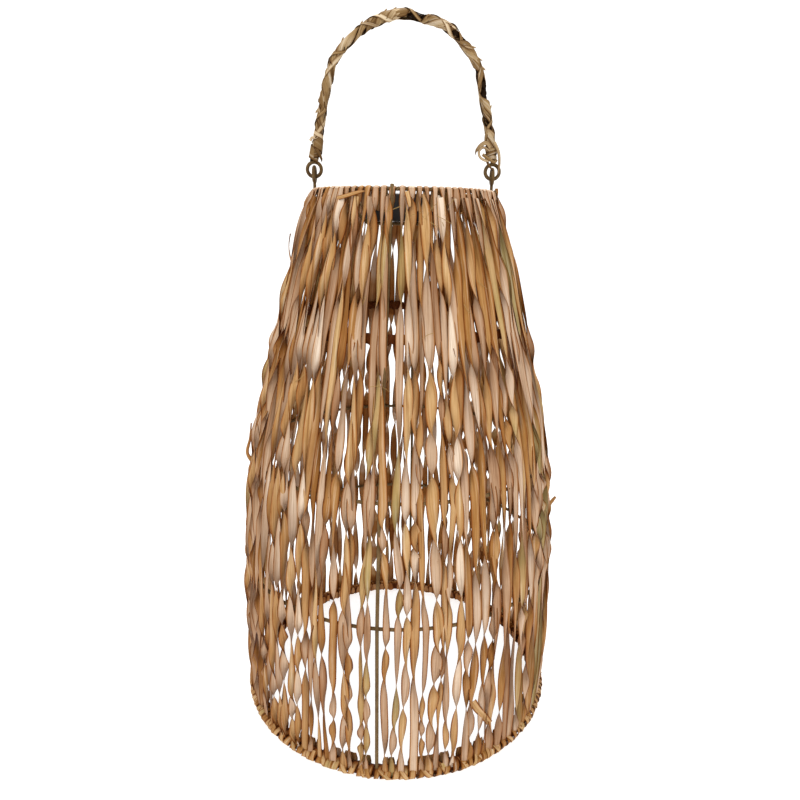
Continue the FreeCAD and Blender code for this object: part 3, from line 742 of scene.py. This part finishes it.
def make_strips(material):
    """A hundred and twenty strips, in pieces of six. Each has its line, turned round the lantern to its
    slot and moved by its shift and its depth, and a face and an edge direction turned by its angle."""
    slots = np.arange(SLOTS)
    slots = slots[slots % SLOTS_PER_QUARTER != 0]
    count = len(slots)
    layer = np.arange(count) % 3
    lines = [side_line(folded) for folded in (layer != 2)]
    line, normal = (np.stack(part) for part in zip(*lines))
    heights = line[:, :, 1]
    first = TAIL_STATIONS + FOLD_STATIONS
    station = np.broadcast_to(np.arange(line.shape[1]), heights.shape)
    inside = station < first
    outer = (station >= first) & (station < first + OUTER_STATIONS)

    angle, start, bulge = strip_turns(heights, outer, layer)
    angle = np.where(inside, start[:, None], angle)
    high_up = np.interp(heights, [185, 225], [0.0, 1.0]) * np.interp(heights, [466, 478], [1.0, 0.6])
    covering = (slots % SLOTS_PER_QUARTER == 1)[:, None] * high_up
    sideways, phase = strip_shifts(heights, line[..., 0], bulge, slots, layer, high_up)
    crowd = np.interp(-heights, -HOOP_HEIGHTS, [1.0, 1.0, 0.7, 0.5, 0.3])
    out = strip_depths(bulge, crowd, layer, covering, inside, outer)
    width, cup = strip_widths(heights, phase, start, inside)
    line = line + normal * out[..., None]

    azimuth = FIRST_SLOT + slots[:, None] * 2 * math.pi / SLOTS + sideways / line[..., 0]
    flat = np.zeros_like(azimuth)
    outward = np.stack([np.cos(azimuth), np.sin(azimuth), flat], axis=-1)
    round_way = np.stack([-np.sin(azimuth), np.cos(azimuth), flat], axis=-1)
    up = np.array([0.0, 0.0, 1.0])
    place = outward * line[..., :1] + up * line[..., 1:]
    face_out = outward * normal[..., :1] + up * normal[..., 1:]
    turn = angle[..., None]
    across = np.cos(turn) * round_way + np.sin(turn) * face_out
    face = np.cos(turn) * face_out - np.sin(turn) * round_way

    # Painted shade: the deeper layers darker where the strips crowd, and all strips darker towards the
    # bottom
    added_shade = 0.13 * (2 - layer[:, None]) * crowd * np.where(outer, 1.0, 0.0)
    added_shade = added_shade + np.interp(heights, [120, 200], [0.13, 0.0])
    skin = choices(chance.normal(0.53, 0.21, 60), count, 0.4) + chance.normal(0, 0.06, count)
    flesh = 0.5 + much_alike(count, 0.12) + chance.normal(0, 0.13, count)
    tones = list(zip(np.clip(skin, 0, 1), np.clip(flesh, 0, 1)))
    for number, begin in enumerate(range(0, count, STRIPS_PER_PIECE), 1):
        rows = slice(begin, begin + STRIPS_PER_PIECE)
        shells = strip_shells(
            place[rows], across[rows], face[rows], width[rows], STRIP_THICKNESS, cup[rows], tones[rows],
            STRIP_COLUMNS, begin, added_shade[rows],
        )
        replaced = f"leaf_strips_{number:02d}"
        make_piece(f"strips_{number:02d}", shells, material, "lantern", [replaced])


def make_hoop_windings(material):
    """Leaf wound on the rim, the shoulder hoop and the base ring, in one or more long bands each, with
    the strips' tucked ends round the base."""
    def inner_side_shade(angle):
        # Painted shade on the base's winding, 0.45 - 0.8 * cos(angle) held to 0..1: darkest towards the
        # lantern's axis
        return np.clip(0.45 - 0.8 * np.cos(angle), 0.0, 1.0)

    around = (0, 2 * math.pi * RIM[0])
    turns = 64
    # Each winding below takes a painted shade: an even one on the rim, shoulder and base lining, which
    # lie under the strips, and one that follows the angle on the base's outer bands
    rim = wound_band(hoop(*RIM), around, turns, 8.0, 1.52, 0.1, 0.12, (0.15, 0.3), turns * 12,
                     columns=3, painted_shade=0.8)
    make_piece("rim_winding", [rim], material, "lantern", ["rim_wrap"])

    around = (0, 2 * math.pi * SHOULDER[0])
    turns, crossing = 70, 41
    stations = turns * 16
    swell = 1.95 + 0.2 * np.sin(np.linspace(0, 90, stations)) * np.sin(np.linspace(0, 37, stations))
    shoulder = [
        wound_band(hoop(*SHOULDER), around, turns, 11.0, swell, 0.2, 0.2, (0.1, 0.2), stations,
                   columns=4, squash=2.0, wander=0.2, painted_shade=0.9),
        wound_band(hoop(*SHOULDER), around, crossing, 8.0, 1.75, 0.3, 0.2, (0.2, 0.25), crossing * 16,
                   hand=-1, columns=4, squash=1.7, wander=0.3, painted_shade=0.9),
    ]
    make_piece("shoulder_winding", shoulder, material, "lantern", ["shoulder_wrap"])

    around = (0, 2 * math.pi * BASE[0])
    stations = SLOTS * 14
    phase = math.pi - SLOTS * (-FIRST_SLOT)
    lap = np.linspace(0, SLOTS, stations)
    knots = np.arange(2 * SLOTS + 1)
    wide = np.interp(lap * 2, knots, chance.uniform(3.6, 7.2, len(knots)))
    high = np.interp(lap * 2, knots, chance.uniform(5.2, 6.1, len(knots)))
    skins, fleshes = chance.uniform(0.1, 0.85, (2, SLOTS + 1))
    wraps = lap.astype(int)[:, None]
    outer_ring = hoop(BASE[0] + 2.4, BASE[1] + 0.8)
    inner_ring = hoop(BASE[0] + 1.5, BASE[1])
    crossing, lining = 53, 90
    base = [
        wound_band(outer_ring, around, SLOTS, wide, high, 0.7, 0.45, (skins[wraps], fleshes[wraps]),
                   stations, phase=phase, columns=4, squash=0.66, wander=0.5, painted_shade=inner_side_shade),
        wound_band(outer_ring, around, crossing, 4.0, 5.9, 0.8, 0.4, (0.7, 0.9), crossing * 16,
                   hand=-1, columns=4, squash=0.66, wander=0.6, painted_shade=inner_side_shade),
        wound_band(inner_ring, around, lining, 9.0, 3.9, 0.4, 0.3, (0.1, 0.1), lining * 10,
                   hand=-1, columns=3, squash=0.8, painted_shade=0.85),
    ]
    base += [tucked_end(azimuth) for azimuth in np.sort(chance.uniform(0, 360, TUCKED_ENDS))]
    make_piece("base_winding", base, material, "lantern", ["base_wrap"])


TUCKED_ENDS = 34


def tucked_end(azimuth):
    """A strip's end that flares out below the strips and is tucked under the base ring."""
    flare, drop, skew = chance.uniform(0.5, 2.6), chance.uniform(4.0, 8.0), chance.normal(0, 2.0)
    points = [
        on_side(azimuth, 8.5 + drop * 0.4, 4.2),
        on_side(azimuth + skew * 0.3, 7.5, 6.0 + flare),
        on_side(azimuth + skew * 0.6, 3.8, 6.4 + flare),
        on_side(azimuth + skew, 2.2, 4.8),
    ]
    width, facing = chance.uniform(3.4, 5.4), on_side(azimuth, 0.0, 0.0)
    tones, twist = chance.uniform(0.1, 0.9, 2), chance.normal(0, 0.5)
    return loose_strip(points, width, facing, tones, twist, 0.7, 0.45, columns=5, count=14)


# The handle


ARCH_RADIUS = 66.0
ARCH_HEIGHT = 549.5
FOOT = (76.5, 502.5)


def handle_carrier():
    """A carrier along the handle from its left foot, and its length: a straight arm, an arch of a
    circle tangent to both arms, and the other arm. The right half is the left one with x reversed."""
    foot = np.array([-FOOT[0], FOOT[1]])
    centre = np.array([0.0, ARCH_HEIGHT])
    reach = centre - foot
    arm = math.sqrt((reach**2).sum() - ARCH_RADIUS**2)
    lean = math.atan2(reach[1], reach[0]) + math.asin(ARCH_RADIUS / math.hypot(*reach))
    along = np.array([math.cos(lean), math.sin(lean)])
    opening = math.atan2(-along[0], along[1])
    start = math.pi + opening
    arc = ARCH_RADIUS * (start - (math.pi - start))
    total = 2 * arm + arc

    def at(distance):
        mirrored = np.where(distance > total / 2, total - distance, distance)
        on_arm = foot + along * np.minimum(mirrored, arm)[..., None]
        turn = start - (mirrored - arm) / ARCH_RADIUS
        on_arch = centre + ARCH_RADIUS * np.stack([np.cos(turn), np.sin(turn)], axis=-1)
        spot = np.where((mirrored < arm)[..., None], on_arm, on_arch)
        normal = np.where(
            (mirrored < arm)[..., None],
            np.array([-along[1], along[0]]),
            np.stack([np.cos(turn), np.sin(turn)], axis=-1),
        )
        flip = np.where(distance > total / 2, -1.0, 1.0)
        flat = np.zeros_like(flip)
        place = np.stack([spot[..., 0] * flip, flat, spot[..., 1]], axis=-1)
        outward = np.stack([normal[..., 0] * flip, flat, normal[..., 1]], axis=-1)
        return place, outward, np.broadcast_to([0.0, 1.0, 0.0], place.shape)

    return at, total


def uneven(carrier, total, amount, knots):
    """A carrier pushed aside by a random amount at each of its knots, and straight in between."""
    aside = chance.normal(0, amount, (2, knots))

    def at(distance):
        place, first, second = carrier(distance)
        step = distance / total * (knots - 1)
        out, back = (np.interp(step, np.arange(knots), row)[..., None] for row in aside)
        return place + first * out + second * back, first, second

    return at


# Shares of the handle's length where its bands part
HANDLE_GAPS = np.array([0.237, 0.366, 0.527, 0.655, 0.843])
# Frayed bits on the handle: the share of its length, the way each one points, and its size
FRAYED = (
    (0.435, 1, 3.4), (0.46, 1, 2.6), (0.70, 1, 4.0), (0.735, 1, 3.4), (0.76, 1, 2.6),
    (0.365, 1, 3.0), (0.30, 1, 2.4), (0.885, -1, 3.0), (0.12, -1, 2.2),
)
# Narrow bands over the others: turns, width, tone and phase
CROSSING_BANDS = ((5.0, 3.4, 0.9, 0.4), (7.0, 2.4, 0.6, 3.0))


def make_handle(material):
    """The handle's winding: a dark one next to the wire, dark in tone and in painted shade, three
    lapped bands that part in a few places, two narrow ones that cross over them, and frayed bits. The
    bands are narrower by 5.5 * exp(-((share - gap) / 0.022)^2) at each gap."""
    carrier, total = handle_carrier()
    carrier = uneven(carrier, total, 0.55, 19)
    span = (9.0, total - 9.0)
    stations = 460
    reach = np.linspace(0, 1, stations)
    parting = np.exp(-(((reach[:, None] - HANDLE_GAPS) / 0.022) ** 2)).sum(axis=1)
    # The band next to the wire carries an even painted shade
    shells = [
        wound_band(carrier, span, 16, 20.0, 2.3, 0.4, 0.3, (0.1, 0.1), stations, phase=0.3, painted_shade=0.9)
    ]
    for index, tone in enumerate((0.35, 0.55, 0.8)):
        swell = np.interp(reach * 27, np.arange(28), chance.normal(0, 0.42, 28))
        high = np.clip(2.6 + 0.15 * index + swell - 0.3 * parting, 2.3, 3.7)
        wide = 9.0 + np.interp(reach * 31, np.arange(32), chance.normal(0, 2.2, 32)) - 5.5 * parting
        drift = np.interp(reach * 19, np.arange(20), chance.normal(0, 0.16, 20))[:, None]
        tones = (tone + drift, tone - 0.15 - drift)
        shells.append(
            wound_band(carrier, span, 6.5 + 0.9 * index, np.clip(wide, 2.6, 13.0), high, 1.0, 0.4,
                       tones, stations, phase=index * 2.1, columns=6, wander=0.45)
        )
    for turns, width, tone, phase in CROSSING_BANDS:
        swell = np.interp(reach * 40, np.arange(41), chance.normal(0, 0.5, 41))
        high = np.clip(3.4 + 0.8 * swell, 2.8, 4.0)
        shells.append(
            wound_band(carrier, (span[0] + 6, span[1] - 8), turns, width, high, 0.7, 0.35,
                       (tone, tone - 0.2), stations, hand=-1, phase=phase, columns=4, wander=0.6)
        )
    for share, side, size in FRAYED:
        distance = span[0] + np.array([share, share + 0.02]) * (span[1] - span[0])
        places, firsts, _ = carrier(distance)
        place, first = places[0], firsts[0]
        ahead = (places[1] - place) * side
        points = [
            place + first * 2.6,
            place + first * 4.2 + ahead * 0.5,
            place + first * (4.0 + size * 0.5) + ahead * 0.9,
        ]
        shells.append(loose_strip(points, 1.5, (0.1, -1, 0.2), (0.75, 0.6), point=0.2, count=10))
    make_piece("handle_winding", shells, material, "handle", ["handle_wrap"])


# Loose leaf at the handle's two ends: points, width, facing, tones, twist, and the share of the width
# that is left at the far end
TIP_ENDS = (
    ([(-74, -4.6, 513), (-71.6, -5.6, 509), (-69.6, -5.6, 505), (-69.3, -4.6, 502.5)],
     3.0, (0.3, -1, 0), (0.15, 0.3), 0.9, 0.4),
    ([(-79, -4.4, 519), (-77.0, -5.6, 521.5), (-74.0, -5.2, 520.5)],
     2.2, (0, -1, 0.2), (1.0, 0.9), 0.0, 0.15),
)
KNOT_ENDS = (
    ([(74.5, -4.2, 514), (70.0, -6.4, 519.0), (65.0, -7.0, 517.0), (61.5, -6.2, 512.5),
      (60.8, -5.4, 509.5)], 3.6, (0.1, -1, 0.4), (0.75, 0.6), 1.2, 0.15),
    ([(75.0, -5.0, 507), (70.5, -6.8, 505.0), (65.0, -6.8, 507.5), (63.8, -6.2, 512.5),
      (67.5, -5.8, 515.5), (73.0, -5.0, 512.5)], 2.4, (0, -1, 0.2), (0.9, 0.4), -0.8, 0.8),
    ([(67.0, -5.2, 510), (72.0, -7.0, 506.5), (77.0, -6.2, 504.0), (79.5, -4.6, 506.0)],
     2.6, (0.1, -1, -0.2), (0.55, 0.5), 0.6, 0.6),
    ([(76.5, -4.6, 520), (80.4, -5.6, 512), (81.6, -5.4, 503), (81.0, -3.6, 495.0)],
     3.0, (0.3, -1, 0.1), (0.8, 0.5), 0.5, 0.6),
    ([(70.0, -4.6, 508), (72.5, -6.2, 501.5), (76.5, -6.0, 497.5)],
     2.4, (0, -1, 0.1), (0.2, 0.4), 0.7, 0.5),
)


def make_handle_ends(material):
    """The drawn-in end of the winding on the left, and the knot with its loose ends on the right."""
    carrier, total = handle_carrier()
    stations = 60
    reach = np.linspace(0, 1, stations)
    high = np.interp(reach, [0, 0.2, 0.5, 0.8, 1.0], [1.6, 3.6, 4.9, 4.4, 3.3])
    tip = [
        wound_band(carrier, (1.8, 17.0), 1.5, 9.5, high, 0.6, 0.4, (0.45, 0.5), stations, phase=2.2),
        wound_band(carrier, (1.5, 15.0), 1.1, 8.0, high - 0.4, 0.5, 0.4, (0.2, 0.4), stations,
                   phase=4.9, hand=-1),
        wound_band(carrier, (17.0, 25.0), 1.1, 3.4, 3.7, 0.4, 0.35, (1.0, 0.9), 40, phase=0.4),
    ]
    tip += [loose_strip(*end) for end in TIP_ENDS]
    make_piece("handle_tip", tip, material, "handle", ["handle_tip_left"])

    end = total - 2.0
    high = np.interp(reach, [0, 0.3, 0.7, 1.0], [3.4, 4.7, 4.3, 1.9])
    knot = [
        wound_band(carrier, (end - 13, end), 2.2, 3.4, high, 0.5, 0.35, (0.6, 0.5), stations,
                   phase=1.0, wander=0.4),
        wound_band(carrier, (end - 12, end - 0.5), 1.7, 3.2, high + 0.3, 0.5, 0.35, (0.4, 0.7),
                   stations, phase=3.4, hand=-1, wander=0.4),
        wound_band(carrier, (end - 14, end - 2), 1.0, 8.0, high - 0.6, 0.4, 0.35, (0.25, 0.3),
                   stations, phase=0.0),
    ]
    knot += [loose_strip(*strip) for strip in KNOT_ENDS]
    make_piece("handle_knot", knot, material, "handle", ["handle_knot_right"])


# Loose leaf beside the strips, as above but with each point's azimuth, height and distance out
LOOSE_ENDS = (
    ([(186, 414, 2), (184, 425, 8), (183, 434, 11), (183, 443, 12)],
     5.0, (-1, -0.5, 0), (0.3, 0.4), 0.5, 0.8),
    ([(190, 236, 2), (188, 244, 8), (186, 256, 8), (184, 270, 10)],
     6.0, (-0.6, -1, 0), (0.2, 0.4), 0.6, 0.9),
    ([(-8, 185, 2), (-6, 192, 5), (-5, 197, 9), (-5, 201, 12)],
     3.6, (0.4, -1, 0.4), (0.35, 0.4), 0.4, 0.6),
    ([(296, 66, 3), (298, 57, 4.5), (300.5, 48, 5), (303, 38, 5.5)],
     7.2, (0.2, -1, 0), (0.6, 0.5), 0.0, 0.85),
    ([(232, 471, 4), (238, 472.5, 5.4), (245, 475, 5.2), (249, 476, 4)],
     3.6, (-0.3, -1, 0.3), (0.55, 0.4), 0.3, 0.3),
    ([(272, 476, 5), (273, 470, 6), (273.5, 465, 5.4)],
     4.0, (0, -1, 0.1), (0.7, 0.5), 0.5, 0.6),
    ([(359, 475, 3.5), (359, 479, 4.6), (359.5, 483, 4.4)],
     3.4, (0.6, -1, 0), (0.1, 0.2), 0.4, 0.8),
)
FIBRES = 24
FIBRE_SHADE = 0.2


def torn_fibre():
    """A fine fibre that leans along the side and sways, with an even painted shade of its own."""
    azimuth = chance.normal(278, 12) if chance.random() < 0.5 else chance.uniform(0, 360)
    if chance.random() < 0.6:
        height = 472 - abs(chance.normal(0, 1)) * 14
    else:
        height = chance.uniform(330, 440)
    length = chance.uniform(7, 18)
    lean = chance.uniform(-1.2, 1.2)
    points = []
    for share, wave in zip((0, 0.5, 1), chance.normal(0, 3.0, 3)):
        turned = azimuth + math.degrees(lean * length * share / 110)
        low = height - length * share * 0.5 + wave * 0.5
        points.append(on_side(turned, low, 4.4 + abs(wave) * 0.6))
    turn = math.radians(azimuth)
    facing = (math.cos(turn), math.sin(turn), 0.0)
    fibre = loose_strip(points, 0.45, facing, (0.9, 0.9), point=0.4, thickness=0.2, columns=2,
                        count=12, cup=0.0)
    # An even painted shade on the whole fibre
    fibre["tint"][..., 2] = FIBRE_SHADE
    return fibre


def make_loose_ends(material):
    """Ends of strips that stand off the sides, bits of leaf caught at the rim, and torn fibres."""
    ends = [
        loose_strip([on_side(*point) for point in points], *rest) for points, *rest in LOOSE_ENDS
    ]
    make_piece("loose_ends", ends, material, "lantern")
    fibres = [torn_fibre() for _ in range(FIBRES)]
    make_piece("torn_fibres", fibres, material, "lantern")


# The scene


def make_stage():
    """A pale floor that curves up behind: it runs back flat, then round a quarter of a circle, then
    straight up. At length a past the flat it lies at bend * (sin, 1 - cos) of a / bend."""
    flat, bend, wall = 2.4, 1.2, 3.0
    stations, columns = 90, 41
    length = np.linspace(-3.0, flat + bend * math.pi / 2 + wall, stations)
    angle = np.clip((length - flat) / bend, 0, math.pi / 2)
    back = np.minimum(length, flat) + bend * np.sin(angle)
    up = bend * (1 - np.cos(angle)) + np.clip(length - flat - bend * math.pi / 2, 0, None)
    across = np.linspace(-4.0, 4.0, columns)
    points = np.stack(np.broadcast_arrays(across[None, :], back[:, None], up[:, None]), axis=-1)
    row, column = np.meshgrid(np.arange(stations - 1), np.arange(columns - 1), indexing="ij")
    corner = row * columns + column
    corners = [corner, corner + 1, corner + columns + 1, corner + columns]
    faces = np.stack(corners, axis=-1).reshape(-1, 4)
    mesh = bpy.data.meshes.new("floor")
    mesh.from_pydata(points.reshape(-1, 3).tolist(), [], faces.tolist())
    mesh.polygons.foreach_set("use_smooth", np.ones(len(faces), bool))
    mesh.materials.append(floor_finish())
    floor = bpy.data.objects.new("floor", mesh)
    scene.collection.objects.link(floor)


def make_lights():
    """A warm soft room that the camera sees as plain white, and three soft lights."""
    world = bpy.data.worlds.new("studio")
    world.use_nodes = True
    room = Nodes(world.node_tree)
    soft = room.node("ShaderNodeBackground", None, {0: (1.0, 0.91, 0.79, 1.0), 1: 0.60})
    plain = room.node("ShaderNodeBackground", None, {0: (1.0, 1.0, 1.0, 1.0), 1: 1.0})
    seen = room.node("ShaderNodeLightPath")
    mixed = {0: seen.outputs[0], 1: soft.outputs[0], 2: plain.outputs[0]}
    either = room.node("ShaderNodeMixShader", None, mixed)
    room.feed(world.node_tree.nodes["World Output"].inputs[0], either.outputs[0])
    scene.world = world
    add_light("key_light", (-0.7, -1.9, 1.9), (0, 0, 0.3), 1.3, 27.0, (1.0, 0.98, 0.95))
    add_light("fill_light", (1.5, -1.5, 0.9), (0, 0, 0.25), 1.4, 10.0, (1.0, 1.0, 1.0))
    add_light("top_light", (0.0, 0.4, 2.4), (0, 0, 0.3), 1.0, 36.0, (1.0, 1.0, 1.0))
    scene.view_settings.view_transform = "Standard"


def paint(material, *nodes):
    """Give CAD nodes a finish in every material slot they have."""
    for name in nodes:
        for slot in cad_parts[name].material_slots:
            slot.material = material


WIRE_STARTS = ("top_ring", "upright", "rim_eyelet", "cradle", "base_ring")


def paint_frame():
    """Finishes for the wire and for every part of the light."""
    wire = wire_finish()
    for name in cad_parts:
        if name.startswith(WIRE_STARTS) or name.endswith("hoop"):
            paint(wire, name)
    paint(wire, "handle_wire")
    paint(moulded_finish("black_case", (0.006, 0.006, 0.007), (0.014, 0.014, 0.015), 0.42),
          "light_housing", "base_plate", "switch_body")
    paint(moulded_finish("seal", (0.012, 0.012, 0.012), (0.03, 0.03, 0.03), 0.75), "seal_ring")
    paint(cell_finish(), "solar_panel")
    paint(clear_finish(), "panel_cover")
    paint(board_finish(), "circuit_board")
    paint(moulded_finish("cell", (0.05, 0.18, 0.30), (0.08, 0.24, 0.38), 0.35, coat=0.3),
          "battery_cell")
    paint(metal_finish("contact", (0.55, 0.52, 0.45), (0.78, 0.76, 0.70), 0.3), "battery_contacts")
    paint(moulded_finish("lamp", (0.80, 0.78, 0.55), (0.92, 0.90, 0.72), 0.25, coat=0.5), "led")
    paint(frosted_finish(), "led_lens")
    paint(metal_finish("screw", (0.42, 0.42, 0.42), (0.66, 0.66, 0.67), 0.32), "case_screws")
    paint(moulded_finish("switch_knob", (0.10, 0.10, 0.10), (0.16, 0.16, 0.16), 0.5), "power_switch")


STRIP_SKIN = (
    (0.0, (0.230, 0.095, 0.022)),
    (0.25, (0.380, 0.190, 0.055)),
    (0.5, (0.465, 0.268, 0.108)),
    (0.72, (0.560, 0.372, 0.185)),
    (0.9, (0.430, 0.310, 0.130)),
    (1.0, (0.330, 0.260, 0.115)),
)
STRIP_FLESH = (
    (0.0, (0.390, 0.225, 0.125)),
    (0.35, (0.500, 0.345, 0.230)),
    (0.7, (0.600, 0.465, 0.355)),
    (1.0, (0.740, 0.620, 0.500)),
)
HANDLE_SKIN = (
    (0.0, (0.075, 0.034, 0.010)),
    (0.35, (0.200, 0.118, 0.045)),
    (0.7, (0.340, 0.232, 0.112)),
    (1.0, (0.640, 0.520, 0.350)),
)

make_camera()
make_lights()
make_stage()
# After each leaf's two sets of stops come its painted shade colour, its painted crevice shadow colour
# and the strength of its fibre lines
strip_leaf = leaf_finish(
    "leaf", STRIP_SKIN, STRIP_FLESH, (0.58, 0.34, 0.15), (0.16, 0.045, 0.004), 0.75
)
handle_leaf = leaf_finish(
    "handle_leaf", HANDLE_SKIN, HANDLE_SKIN, (0.40, 0.28, 0.17), (0.05, 0.022, 0.008), 1.0
)
paint_frame()
make_strips(strip_leaf)
make_hoop_windings(strip_leaf)
make_handle(handle_leaf)
make_handle_ends(handle_leaf)
make_loose_ends(strip_leaf)
